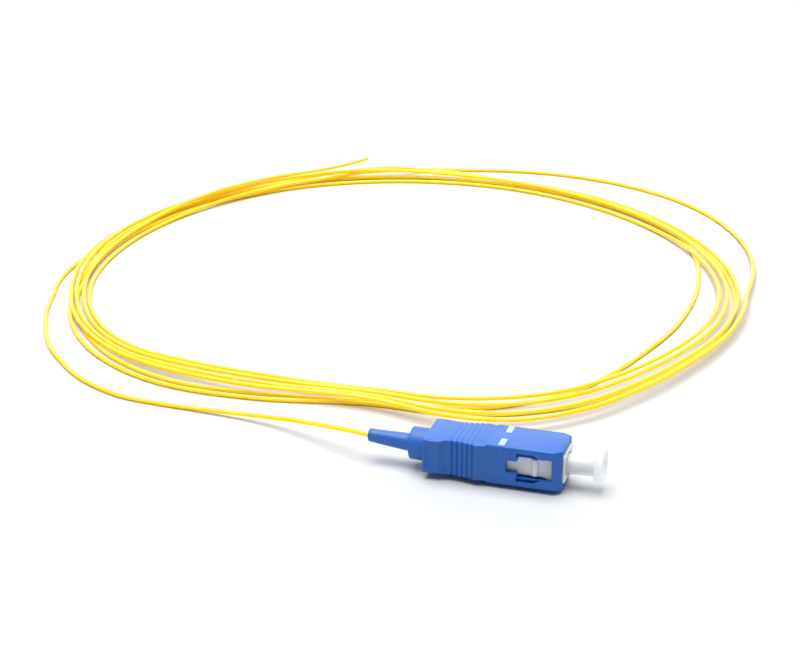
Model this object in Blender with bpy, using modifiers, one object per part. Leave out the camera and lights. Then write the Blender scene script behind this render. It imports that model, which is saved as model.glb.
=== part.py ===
# Fibre optic pigtail: a square push-pull plug with its dust cap, on a loose coil of thin buffered fibre.
# Metres, +Z up. +X runs along the plug towards its mouth and +Y across it. The plug lies key down on
# the floor at z = 0, and the origin is on the floor under the middle of the plug.

import math

import bmesh
import bpy
from mathutils import Matrix, Vector

mm = 0.001

# Clearances
gap = 0.3 * mm              # between pieces that touch in the real plug
running = 0.25 * mm         # between pieces that slide on each other
cap_clearance = 0.2 * mm    # between the dust cap and the ferrule
weld_reach = 0.001 * mm     # points this close become one

# Sleeve, the blue outer housing. Lengths along x count from its rear face.
sleeve_length = 24.8 * mm
sleeve_width = 9.0 * mm
sleeve_height = 7.4 * mm
side_wall = 1.1 * mm
flat_wall = 0.9 * mm
nose_chamfer_along = 1.5 * mm
nose_chamfer_across = 0.9 * mm
edge_round = 0.3 * mm
sleeve_travel = 1.5 * mm    # how far the sleeve pulls back to unlatch

# Key on the underside, which the plug lies on
key_length = 8.0 * mm
key_width = 2.4 * mm
key_height = 0.75 * mm
key_setback = 2.5 * mm

# Finger grip at the rear of the sleeve
grip_length = 11.3 * mm
grip_height = 7.0 * mm
grip_round = 0.5 * mm
tail_length = 3.1 * mm
tail_width = 9.7 * mm
waist_length = 0.9 * mm
waist_width = 8.4 * mm
shoulder_length = 2.1 * mm
shoulder_width = 9.9 * mm
flank_hollow = 0.2 * mm     # how far the ribbed flank curves in between waist and shoulder
groove_count = 5
groove_start = 1.2 * mm     # from the waist to the middle of the first groove
groove_pitch = 0.95 * mm
groove_width = 0.45 * mm
groove_depth = 0.25 * mm
panel_margin = 0.6 * mm
panel_depth = 0.15 * mm

# Window in each narrow side of the sleeve
bar_length = 1.8 * mm       # solid bar in front of the window
bar_recess = 0.3 * mm
bar_margin = 0.1 * mm       # the recess is this much taller than the window, above and below
window_length = 8.1 * mm    # with its narrow rear end
window_height = 4.1 * mm
slot_length = 2.0 * mm      # the narrow rear end
slot_height = 2.4 * mm
pocket_lead = 0.1 * mm      # the pocket starts this far behind the window's wide part
pocket_length = 3.0 * mm    # shallow pocket above and below the window
pocket_ramp = 1.4 * mm
pocket_rise = 0.7 * mm
pocket_depth = 0.5 * mm

# Inner housing, the white frame in the sleeve
inner_proud = 0.3 * mm      # stands out of the sleeve's mouth
inner_round = 0.3 * mm
cup_diameter = 4.4 * mm
cup_depth = 4.3 * mm
web = 1.0 * mm              # wall that the ferrule passes through
latch_length = 1.2 * mm
latch_rise = 0.7 * mm
latch_height = 3.3 * mm
latch_stop = 0.9 * mm       # left between latch and window when the sleeve is pulled back

# Ferrule and its flange
ferrule_diameter = 2.5 * mm
ferrule_length = 11.5 * mm
ferrule_tip_chamfer = 0.4 * mm
ferrule_float = 1.0 * mm    # how far the ferrule springs back when mated
flange_diameter = 3.8 * mm
flange_length = 2.7 * mm
flange_seat = 2.0 * mm

# Rear body, between the inner housing and the boot
collar_diameter = 5.9 * mm
collar_insert = 1.2 * mm    # how far the boot's collar reaches into the sleeve
stop_diameter = 5.0 * mm
stop_length = 1.4 * mm
spigot_length = 5.7 * mm
stem_diameter = 3.0 * mm
stem_length = 4.0 * mm

# Boot
collar_length = 3.2 * mm    # outside the sleeve
collar_round = 0.35 * mm
boot_taper = 8.1 * mm
boot_root_diameter = 3.0 * mm
boot_tail_diameter = 2.2 * mm

# Dust cap
cap_tube_diameter = 3.4 * mm
cap_flange_diameter = 5.8 * mm
cap_flange_length = 1.5 * mm
cap_flange_chamfer = 0.4 * mm
cap_tip_room = 0.7 * mm     # from the ferrule's tip to the back of the cap's flange

# Fibre: the coil's centre counts from the point where the lead leaves the boot
fibre_diameter = 0.9 * mm
coil_centre = (-20.2 * mm, 92.8 * mm)
coil_radius = 73.75 * mm     # to the middle of the bundle
coil_width = 12.5 * mm
coil_height = 2.6 * mm
coil_edge = 0.8 * mm
lead_end_angle = 205.5      # degrees round the coil, where the lead joins it

# The lead's route: x and y from the boot in mm, and the share of the exit's height that is left
lead_route = [
    (0.0, 0.0, 1.0),
    (-4.3, 1.4, 0.95),
    (-10.2, 3.8, 0.76),
    (-17.4, 6.6, 0.46),
    (-26.1, 8.7, 0.2),
    (-37.9, 9.8, 0.04),
    (-46.5, 10.3, 0.0),
    (-55.6, 11.7, 0.0),
    (-66.6, 17.5, 0.0),
    (-77.4, 27.7, 0.0),
    (-82.6, 34.9, 0.0),
    (-86.0, 40.8, 0.0),
    (-89.0, 46.8, 0.0),
    (-91.8, 54.2, 0.0),
]
lead_steps = 78

# Where the pieces lie along the plug
cavity_width = sleeve_width - 2 * side_wall
cavity_height = sleeve_height - 2 * flat_wall
rear_bore_diameter = collar_diameter + 2 * running
rear_bore_depth = collar_insert + stop_length + 2 * gap
inner_back = rear_bore_depth + gap
inner_front = sleeve_length + inner_proud
web_front = inner_front - cup_depth
web_back = web_front - web
flange_front = web_back - gap
flange_back = flange_front - flange_length
ferrule_back = flange_front - flange_seat + gap
ferrule_front = ferrule_back + ferrule_length
cap_back = web_front + ferrule_float + gap
cap_flange_back = ferrule_front + cap_tip_room
cap_front = cap_flange_back + cap_flange_length
inner_bore_diameter = flange_diameter + 2 * gap
stop_back = collar_insert + gap
stop_front = stop_back + stop_length
boot_back = -collar_length - boot_taper
window_front = sleeve_length - bar_length
window_back = window_front - window_length
latch_front = window_front - sleeve_travel - latch_stop

axis_height = key_height + sleeve_height / 2
plug_middle = (cap_front + boot_back) / 2

round_steps = 40
coil_steps = 96

alongX = Matrix(((0, 0, 1), (1, 0, 0), (0, 1, 0))).to_4x4()    # local x, y, z become y, z, x
alongY = Matrix.Rotation(math.pi / 2, 4, 'X')                  # local y, z become z, -y
alongZ = Matrix.Identity(4)


def clear_scene():
    for obj in list(bpy.data.objects):
        bpy.data.objects.remove(obj, do_unlink=True)


def make_collection(name):
    collection = bpy.data.collections.new(name)
    bpy.context.scene.collection.children.link(collection)
    return collection


def make_material(name, colour, roughness, metallic=0.0, transmission=0.0):
    material = bpy.data.materials.new(name)
    material.use_nodes = True
    shader = material.node_tree.nodes["Principled BSDF"]
    shader.inputs["Base Color"].default_value = (*colour, 1.0)
    shader.inputs["Roughness"].default_value = roughness
    shader.inputs["Metallic"].default_value = metallic
    shader.inputs["Transmission Weight"].default_value = transmission
    return material


def place(obj, collection, parent=None, material=None):
    collection.objects.link(obj)
    obj.parent = parent
    if material:
        obj.data.materials.append(material)
    return obj


def as_cutter(obj):
    obj.hide_render = True
    obj.display_type = 'WIRE'
    return obj


def solid_from_curve(curve, name):
    # a filled curve as one closed mesh, its caps welded to its sides
    source = bpy.data.objects.new(name, curve)
    bpy.context.scene.collection.objects.link(source)
    graph = bpy.context.evaluated_depsgraph_get()
    mesh = bpy.data.meshes.new_from_object(source.evaluated_get(graph))
    bpy.data.objects.remove(source)
    weld(mesh)
    mesh.name = name
    return mesh


def weld(mesh):
    bm = bmesh.new()
    bm.from_mesh(mesh)
    bmesh.ops.remove_doubles(bm, verts=bm.verts, dist=weld_reach)
    bmesh.ops.recalc_face_normals(bm, faces=bm.faces)
    bm.to_mesh(mesh)
    bm.free()


def outline(name, loops, thickness, turn=alongZ, centre=(0, 0, 0)):
    # a flat outline, with holes where a loop lies in another, given its thickness about its plane
    curve = bpy.data.curves.new(name, 'CURVE')
    curve.dimensions = '2D'
    curve.fill_mode = 'BOTH'
    curve.extrude = thickness / 2
    for loop in loops:
        spline = curve.splines.new('POLY')
        spline.points.add(len(loop) - 1)
        for point, (a, b) in zip(spline.points, loop):
            point.co = (a, b, 0, 1)
        spline.use_cyclic_u = True
    mesh = solid_from_curve(curve, name)
    mesh.transform(Matrix.Translation(Vector(centre)) @ turn)
    return bpy.data.objects.new(name, mesh)


def box(name, x, y, z):
    # a block between two limits on each axis
    middle = [(low + high) / 2 for low, high in (x, y, z)]
    size = [high - low for low, high in (x, y, z)]
    bpy.ops.mesh.primitive_cube_add(size=1)
    obj = bpy.context.object
    obj.name = name
    obj.data.name = name
    obj.data.transform(Matrix.Translation(middle) @ Matrix.Diagonal((*size, 1)))
    for collection in list(obj.users_collection):
        collection.objects.unlink(obj)
    return obj


def turned(name, profile, steps=round_steps, turn=alongX, closed=True):
    # profile: (along, radius) points, the outer side first, from the far end back
    mesh = bpy.data.meshes.new(name)
    vertices = [(radius, 0, along) for along, radius in profile]
    count = len(vertices)
    edges = [(i, (i + 1) % count) for i in range(count if closed else count - 1)]
    mesh.from_pydata(vertices, edges, [])
    obj = bpy.data.objects.new(name, mesh)
    obj.matrix_world = turn
    screw = obj.modifiers.new("Turn", 'SCREW')
    screw.axis = 'Z'
    screw.steps = steps
    screw.render_steps = steps
    screw.use_merge_vertices = True
    screw.merge_threshold = weld_reach
    screw.use_smooth_shade = True
    return obj


def cylinder(name, start, end, diameter):
    # a round bar along x, used to cut bores
    bpy.ops.mesh.primitive_cylinder_add(vertices=round_steps, radius=diameter / 2, depth=end - start)
    obj = bpy.context.object
    obj.name = name
    obj.data.name = name
    obj.data.transform(alongX @ Matrix.Translation((0, 0, (start + end) / 2)))
    for collection in list(obj.users_collection):
        collection.objects.unlink(obj)
    return obj


def bevel(obj, width, segments=2, angle=60):
    rounding = obj.modifiers.new("Edges", 'BEVEL')
    rounding.width = width
    rounding.segments = segments
    rounding.limit_method = 'ANGLE'
    rounding.angle_limit = math.radians(angle)


def combine(obj, operation, tools, cutters, parent):
    # all the tools in one step, so that each cut sees the exact shapes of the others
    group = bpy.data.collections.new("%s_%s" % (obj.name, operation.lower()))
    cutters.children.link(group)
    for tool in tools:
        place(as_cutter(tool), group, parent)
    step = obj.modifiers.new(group.name, 'BOOLEAN')
    step.operation = operation
    step.solver = 'EXACT'
    step.operand_type = 'COLLECTION'
    step.collection = group


def cut(obj, tools, cutters, parent):
    combine(obj, 'DIFFERENCE', tools, cutters, parent)


def add(obj, tools, cutters, parent):
    combine(obj, 'UNION', tools, cutters, parent)


def grip_profile():
    # half widths of the finger grip along x, rear to front
    ribs_start = tail_length + waist_length
    shoulder_start = grip_length - shoulder_length
    return [
        (0, tail_width / 2),
        (tail_length, tail_width / 2),
        (ribs_start, waist_width / 2),
        ((ribs_start + shoulder_start) / 2, (waist_width + shoulder_width) / 4 - flank_hollow),
        (shoulder_start, shoulder_width / 2),
        (grip_length, shoulder_width / 2),
    ]


def half_width_at(x, profile):
    for (x0, w0), (x1, w1) in zip(profile, profile[1:]):
        if x0 <= x <= x1:
            return w0 + (w1 - w0) * (x - x0) / (x1 - x0)
    return profile[-1][1]


def mirrored(profile):
    # a closed outline from the half widths on the +y side
    return profile + [(x, -w) for x, w in reversed(profile)]


def make_sleeve(parts, cutters, parent, material):
    profile = grip_profile()
    sleeve = outline("outer_housing", [mirrored(profile)], grip_height)
    place(sleeve, parts, parent, material)
    bevel(sleeve, grip_round)

    half = sleeve_width / 2
    nose = outline("nose_block", [mirrored([
        (grip_length - shoulder_length / 2, half),
        (sleeve_length - nose_chamfer_along, half),
        (sleeve_length, half - nose_chamfer_across),
    ])], sleeve_height)
    bevel(nose, edge_round)

    key = box("key_block",
              (sleeve_length - key_setback - key_length, sleeve_length - key_setback),
              (-key_width / 2, key_width / 2),
              (-axis_height, -sleeve_height / 2 + flat_wall / 2))
    bevel(key, key_height / 3, 1)
    add(sleeve, [nose, key], cutters, parent)

    cuts = []
    for index in range(groove_count):
        x = tail_length + waist_length + groove_start + index * groove_pitch
        inner_y = half_width_at(x, profile) - groove_depth
        inner_z = grip_height / 2 - groove_depth
        reach = shoulder_width
        cuts.append(outline("groove_%d" % (index + 1), [
            [(-reach, -reach), (reach, -reach), (reach, reach), (-reach, reach)],
            [(-inner_y, -inner_z), (inner_y, -inner_z), (inner_y, inner_z), (-inner_y, inner_z)],
        ], groove_width, alongX, (x, 0, 0)))

    for side in (-1, 1):
        face = side * tail_width / 2
        cuts.append(box("panel_%s" % ("near" if side < 0 else "far"),
                        (panel_margin, tail_length - panel_margin),
                        sorted((face - side * panel_depth, face + side * panel_depth)),
                        (2 * panel_margin - grip_height / 2, grip_height / 2 - 2 * panel_margin)))

    cuts.append(cylinder("rear_bore", -rear_bore_depth, rear_bore_depth + gap, rear_bore_diameter))
    cuts.append(box("cavity", (rear_bore_depth, sleeve_length + rear_bore_depth),
                    (-cavity_width / 2, cavity_width / 2), (-cavity_height / 2, cavity_height / 2)))

    slot_front = window_back + slot_length
    cuts.append(outline("window", [[
        (window_back, -slot_height / 2), (slot_front, -slot_height / 2),
        (slot_front, -window_height / 2), (window_front, -window_height / 2),
        (window_front, window_height / 2), (slot_front, window_height / 2),
        (slot_front, slot_height / 2), (window_back, slot_height / 2),
    ]], 2 * sleeve_width, alongY))

    pocket_back = slot_front - pocket_lead
    ramp_start = pocket_back + pocket_length
    tall = window_height / 2 + pocket_rise
    low = window_height / 2 - pocket_lead
    for side in (-1, 1):
        name = "near" if side < 0 else "far"
        middle = side * (half - pocket_depth + sleeve_width / 2)
        cuts.append(outline("pocket_" + name, [[
            (pocket_back, -tall), (ramp_start, -tall), (ramp_start + pocket_ramp, -low),
            (ramp_start + pocket_ramp, low), (ramp_start, tall), (pocket_back, tall),
        ]], sleeve_width, alongY, (0, middle, 0)))

        bar_face = half - bar_recess
        cuts.append(box("bar_" + name, (window_front - pocket_ramp, sleeve_length + bar_length),
                        sorted((side * bar_face, side * sleeve_width)),
                        (-window_height / 2 - bar_margin, window_height / 2 + bar_margin)))
    cut(sleeve, cuts, cutters, parent)
    return sleeve


def make_inner_housing(parts, cutters, parent, material):
    half_width = cavity_width / 2 - running
    half_height = cavity_height / 2 - running
    inner = box("inner_housing", (inner_back, inner_front),
                (-half_width, half_width), (-half_height, half_height))
    place(inner, parts, parent, material)
    bevel(inner, inner_round)
    reach = half_width + latch_rise
    latch = outline("latch_block", [[
        (latch_front - latch_length, -half_width), (latch_front - latch_length / 2, -reach),
        (latch_front, -reach), (latch_front, reach),
        (latch_front - latch_length / 2, reach), (latch_front - latch_length, half_width),
    ]], latch_height)
    add(inner, [latch], cutters, parent)
    cut(inner, [
        cylinder("cup", web_front, inner_front + cup_depth, cup_diameter),
        cylinder("inner_bore", inner_back - cup_depth, web_back, inner_bore_diameter),
        cylinder("web_hole", web_back - web, web_front + web, ferrule_diameter + 2 * gap),
    ], cutters, parent)
    return inner


def make_rear_body(parts, parent, material):
    # a stem in the boot's collar, a stop against the inner housing and a spigot in its bore
    stem_back = stop_back - stem_length
    spigot_front = stop_front + spigot_length
    stem = stem_diameter / 2
    spigot = inner_bore_diameter / 2 - gap
    hole = fibre_diameter / 2 + gap
    body = turned("rear_body", [
        (spigot_front, spigot), (stop_front, spigot), (stop_front, stop_diameter / 2),
        (stop_back, stop_diameter / 2), (stop_back, stem), (stem_back, stem),
        (stem_back, hole), (spigot_front, hole),
    ])
    return place(body, parts, parent, material)


def make_boot(parts, parent, material):
    collar = collar_diameter / 2
    root = boot_root_diameter / 2
    tail = boot_tail_diameter / 2
    socket = stem_diameter / 2 + gap
    socket_back = stop_back - stem_length - gap
    hole = fibre_diameter / 2 + gap
    boot = turned("boot", [
        (collar_insert, collar - collar_round), (collar_insert - collar_round, collar),
        (-collar_length + collar_round, collar), (-collar_length, collar - collar_round),
        (-collar_length, root), (boot_back + collar_round / 2, tail),
        (boot_back, tail - collar_round / 3), (boot_back, hole), (socket_back, hole),
        (socket_back, socket), (collar_insert, socket),
    ])
    return place(boot, parts, parent, material)


def make_ferrule(parts, parent, material):
    radius = ferrule_diameter / 2
    ferrule = turned("ferrule", [
        (ferrule_front, 0), (ferrule_front, radius - ferrule_tip_chamfer),
        (ferrule_front - ferrule_tip_chamfer, radius), (ferrule_back, radius), (ferrule_back, 0),
    ], closed=False)
    return place(ferrule, parts, parent, material)


def make_ferrule_flange(parts, parent, material):
    outer = flange_diameter / 2
    seat = ferrule_diameter / 2 + gap
    seat_back = flange_front - flange_seat
    hole = fibre_diameter / 2 + gap
    flange = turned("ferrule_flange", [
        (flange_front, outer), (flange_back, outer), (flange_back, hole),
        (seat_back, hole), (seat_back, seat), (flange_front, seat),
    ])
    return place(flange, parts, parent, material)


def make_dust_cap(parts, parent, material):
    tube = cap_tube_diameter / 2
    rim = cap_flange_diameter / 2
    bore = ferrule_diameter / 2 + cap_clearance
    cap = turned("dust_cap", [
        (cap_front, 0), (cap_front, rim - cap_flange_chamfer), (cap_front - cap_flange_chamfer, rim),
        (cap_flange_back, rim), (cap_flange_back, tube), (cap_back, tube), (cap_back, bore),
        (ferrule_front + gap, bore), (ferrule_front + gap, 0),
    ], closed=False)
    return place(cap, parts, parent, material)


def smooth_route(knots, count):
    # evenly spaced points on a smooth curve through the knots
    ends = [2 * knots[0] - knots[1], *knots, 2 * knots[-1] - knots[-2]]
    fine = []
    for a, b, c, d in zip(ends, ends[1:], ends[2:], ends[3:]):
        for step in range(24):
            t = step / 24
            fine.append(0.5 * (2 * b + (c - a) * t + (2 * a - 5 * b + 4 * c - d) * t ** 2
                               + (3 * b - a - 3 * c + d) * t ** 3))
    fine.append(knots[-1])
    travelled = [0.0]
    for first, second in zip(fine, fine[1:]):
        travelled.append(travelled[-1] + (second - first).length)
    points = []
    place_in = 0
    for index in range(count):
        wanted = travelled[-1] * index / (count - 1)
        while place_in < len(fine) - 2 and travelled[place_in + 1] < wanted:
            place_in += 1
        span = travelled[place_in + 1] - travelled[place_in]
        share = (wanted - travelled[place_in]) / span
        points.append(fine[place_in].lerp(fine[place_in + 1], share))
    return points


def make_lead(parts, parent, material):
    # from just behind the boot down to the floor and round the coil, up to its side
    exit_x = boot_back - gap
    rest = fibre_diameter / 2 - axis_height
    knots = [Vector((exit_x + x * mm, y * mm, rest * (1 - share))) for x, y, share in lead_route]
    angle = math.radians(lead_end_angle)
    reach = coil_radius + coil_width / 2 + gap + fibre_diameter / 2
    knots.append(Vector((exit_x + coil_centre[0] + reach * math.cos(angle),
                         coil_centre[1] + reach * math.sin(angle), rest)))
    curve = bpy.data.curves.new("fibre_lead", 'CURVE')
    curve.dimensions = '3D'
    curve.bevel_depth = fibre_diameter / 2
    curve.bevel_resolution = 2
    curve.use_fill_caps = True
    points = smooth_route(knots, lead_steps)
    for point in points:
        point.z = max(point.z, rest)
    spline = curve.splines.new('POLY')
    spline.points.add(len(points) - 1)
    for point, position in zip(spline.points, points):
        point.co = (*position, 1)
    return place(bpy.data.objects.new("fibre_lead", curve), parts, parent, material)


def make_coil(parts, parent, material):
    # one ring with the outer shape of all the turns
    half = coil_width / 2
    upper = coil_height - coil_edge
    coil = turned("fibre_coil", [
        (coil_height, coil_radius + half / 2), (upper, coil_radius + half),
        (coil_edge, coil_radius + half), (0, coil_radius + half - coil_edge),
        (0, coil_radius - half + coil_edge), (coil_edge, coil_radius - half),
        (upper, coil_radius - half), (coil_height, coil_radius - half / 2),
    ], coil_steps, alongZ)
    coil.location = (boot_back - gap + coil_centre[0], coil_centre[1], -axis_height)
    return place(coil, parts, parent, material)


def build():
    clear_scene()
    parts = make_collection("fibre optic pigtail")
    cutters = make_collection("cutters")
    blue = (0.10, 0.30, 0.78)
    white = (0.80, 0.82, 0.82)

    plug = bpy.data.objects.new("plug_axis", None)
    plug.location = (-plug_middle, 0, axis_height)
    parts.objects.link(plug)

    make_sleeve(parts, cutters, plug, make_material("sleeve plastic", blue, 0.42))
    make_inner_housing(parts, cutters, plug, make_material("frame plastic", white, 0.45))
    make_rear_body(parts, plug, make_material("rear body metal", (0.72, 0.71, 0.68), 0.3, 1.0))
    make_boot(parts, plug, make_material("boot rubber", blue, 0.55))
    make_ferrule(parts, plug, make_material("ferrule ceramic", (0.92, 0.91, 0.88), 0.12))
    make_ferrule_flange(parts, plug, make_material("flange metal", (0.75, 0.74, 0.72), 0.3, 1.0))
    make_dust_cap(parts, plug, make_material("cap plastic", (0.90, 0.91, 0.92), 0.3, 0.0, 0.6))
    make_lead(parts, plug, make_material("lead jacket", (0.95, 0.72, 0.02), 0.4))
    make_coil(parts, plug, make_material("coil jacket", (0.95, 0.72, 0.02), 0.4))


build()
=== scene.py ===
import math

import bmesh
import bpy
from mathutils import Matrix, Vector


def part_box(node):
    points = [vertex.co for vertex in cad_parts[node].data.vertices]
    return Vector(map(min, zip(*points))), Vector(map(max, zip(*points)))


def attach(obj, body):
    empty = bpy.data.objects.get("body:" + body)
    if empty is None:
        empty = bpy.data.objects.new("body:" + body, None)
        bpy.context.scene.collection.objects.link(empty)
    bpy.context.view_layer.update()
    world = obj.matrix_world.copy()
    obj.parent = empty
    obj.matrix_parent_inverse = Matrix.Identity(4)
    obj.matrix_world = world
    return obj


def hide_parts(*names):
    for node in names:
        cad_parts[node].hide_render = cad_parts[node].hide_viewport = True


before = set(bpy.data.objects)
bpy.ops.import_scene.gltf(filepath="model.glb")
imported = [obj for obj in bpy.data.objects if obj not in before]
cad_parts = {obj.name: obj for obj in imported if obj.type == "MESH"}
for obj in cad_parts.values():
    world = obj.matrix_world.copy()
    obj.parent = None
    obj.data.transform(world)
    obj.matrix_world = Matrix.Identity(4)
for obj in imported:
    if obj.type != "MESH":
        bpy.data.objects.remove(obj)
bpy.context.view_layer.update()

mm = 0.001
scene = bpy.context.scene
plugStart = Vector((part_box("outer_housing")[0][0], 0.0,    # the sleeve's rear end, on the plug's axis
                    (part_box("boot")[0][2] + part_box("boot")[1][2]) / 2))

print("stage: camera and light")

studio = {
    "lens": 80.1,                          # mm
    "sensor": 36.0,
    "clip": (0.01, 20.0),
    "place": (0.0697, -0.2740, 0.1410),
    "turn": (68.0, 0.0, 17.3),             # degrees, looking down onto the coil
    "floorSize": 6.0,
    "floorTone": 0.6,
    "floorCloud": 0.01,                    # how much darker its faint clouds are
    "skyLight": 0.23,
    "skyColour": (0.74, 0.86, 1.0),
    "lampSize": 1.7,
    "lampPower": 42.0,
    "lampPlace": (-0.15, 0.05, 1.5),
    "panelSize": (3.0, 1.3),               # a white panel behind, which the glossy tops reflect
    "panelPower": 20.0,
    "panelPlace": (-0.5, 1.7, 0.75),
}


def makeCamera():
    data = bpy.data.cameras.new("camera")
    data.lens = studio["lens"]
    data.sensor_width = studio["sensor"]
    data.clip_start, data.clip_end = studio["clip"]
    camera = bpy.data.objects.new("camera", data)
    camera.location = studio["place"]
    camera.rotation_euler = [math.radians(angle) for angle in studio["turn"]]
    scene.collection.objects.link(camera)
    scene.camera = camera


def hangLamp(name, shape, size, power, place):
    data = bpy.data.lights.new(name, 'AREA')
    data.shape = shape
    data.size, data.size_y = size
    data.energy = power
    lamp = bpy.data.objects.new(name, data)
    lamp.location = place
    lamp.rotation_euler = (-lamp.location).to_track_quat('-Z', 'Y').to_euler()
    scene.collection.objects.link(lamp)


def makeLight():
    wide = studio["lampSize"]
    hangLamp("softbox", 'DISK', (wide, wide), studio["lampPower"], studio["lampPlace"])
    hangLamp("panel", 'RECTANGLE', studio["panelSize"], studio["panelPower"], studio["panelPlace"])
    world = bpy.data.worlds.new("studio")
    world.use_nodes = True
    sky = world.node_tree.nodes["Background"]
    sky.inputs["Color"].default_value = (*studio["skyColour"], 1.0)
    sky.inputs["Strength"].default_value = studio["skyLight"]
    scene.world = world
    scene.view_settings.view_transform = 'Standard'


makeCamera()
makeLight()


class Shade:                               # a socket of a material; sums on it add Math nodes
    def __init__(self, tree, socket=None):
        self.tree, self.socket = tree, socket

    def node(self, kind, settings=(), values=(), out=0):
        made = self.tree.nodes.new("ShaderNode" + kind)
        for name, value in dict(settings).items():
            setattr(made, name, value)
        for name, value in dict(values).items():
            if isinstance(value, Shade):
                self.tree.links.new(value.socket, made.inputs[name])
            else:
                made.inputs[name].default_value = value
        return Shade(self.tree, made.outputs[out])

    def sum(self, operation, first, second):
        return self.node("Math", {"operation": operation}, {0: first, 1: second})

    def __add__(self, other):
        return self.sum('ADD', self, other)

    def __sub__(self, other):
        return self.sum('SUBTRACT', self, other)

    def __rsub__(self, other):
        return self.sum('SUBTRACT', other, self)

    def __mul__(self, other):
        return self.sum('MULTIPLY', self, other)

    __radd__, __rmul__ = __add__, __mul__

    def mix(self, first, second):          # between two colours, with this as the share of the second
        first, second = (tone if isinstance(tone, Shade) else (*tone, 1.0)
                         for tone in (first, second))
        return self.node("Mix", {"data_type": 'RGBA'}, {0: self, 6: first, 7: second}, out=2)

    def between(self, low, high):          # 0 below low, 1 above high, smooth in between
        return self.node("MapRange", {"interpolation_type": 'SMOOTHSTEP'},
                         {"Value": self, "From Min": low, "From Max": high})


def startMaterial(name):
    material = bpy.data.materials.new(name)
    material.use_nodes = True
    surface = Shade(material.node_tree)
    place = surface.node("TexCoord", out=3)
    return material, surface, place


def grain(surface, place, size, detail):   # soft noise with features of about that size in mm
    return surface.node("TexNoise", {}, {"Vector": place, "Scale": 1 / (size * mm), "Detail": detail})


def bands(surface, place, scale, distortion, detail):      # fine rings round the plug's axis
    return surface.node("TexWave", {"wave_type": 'BANDS', "bands_direction": 'X'},
                        {"Vector": place, "Scale": scale, "Distortion": distortion, "Detail": detail},
                        out=1)


def setSurface(material, surface, colour, roughness, height, depth, **fixed):    # depth is in mm
    shader = material.node_tree.nodes["Principled BSDF"]
    for name, value in (("Base Color", colour), ("Roughness", roughness)):
        if isinstance(value, Shade):
            material.node_tree.links.new(value.socket, shader.inputs[name])
        else:
            shader.inputs[name].default_value = value
    bump = surface.node("Bump", {}, {"Height": height, "Strength": 1.0, "Distance": depth * mm})
    material.node_tree.links.new(bump.socket, shader.inputs["Normal"])
    for name, value in fixed.items():
        shader.inputs[name.replace("_", " ").title()].default_value = value


moulded = {                                # the look of moulded plastic, sizes in mm
    "flow": 5.0,
    "fine": 0.09,
    "pebble": 0.16,
    "pebbleSmooth": 0.6,
    "rub": 1.6,
    "rubRange": (0.58, 0.72),              # of the noise, from no rub to a full one
    "rubPale": 0.15,                       # how much white there is in a rub
    "rubShow": 0.1,
    "rubPolish": 0.07,
    "fineRough": 0.08,
    "relief": (0.6, 0.5),                  # shares of the fine grain and of the pebbles
    "depth": 0.012,
}


def mouldedPlastic(name, colour, shift, roughness):
    # fine spark-eroded mould texture, soft flow marks and a few polished rubs
    material, surface, place = startMaterial(name)
    flow = grain(surface, place, moulded["flow"], detail=3.0)
    fine = grain(surface, place, moulded["fine"], detail=3.0)
    pebble = surface.node("TexVoronoi", {"feature": 'SMOOTH_F1'},
                          {"Vector": place, "Scale": 1 / (moulded["pebble"] * mm),
                           "Smoothness": moulded["pebbleSmooth"]})
    rubs = grain(surface, place, moulded["rub"], detail=5.0).between(*moulded["rubRange"])
    light = [min(value * (1 + shift), 1.0) for value in colour]
    dark = [value * (1 - shift) for value in colour]
    tone = flow.between(0.25, 0.75).mix(dark, light)
    white = moulded["rubPale"]
    tone = (rubs * moulded["rubShow"]).mix(tone, [value * (1 - white) + white for value in colour])
    rough = roughness + (fine - 0.5) * moulded["fineRough"] - rubs * moulded["rubPolish"]
    fineShare, pebbleShare = moulded["relief"]
    height = fine * fineShare + pebble * pebbleShare
    setSurface(material, surface, tone, rough, height, moulded["depth"])
    return material


print("stage: fibre")

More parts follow.
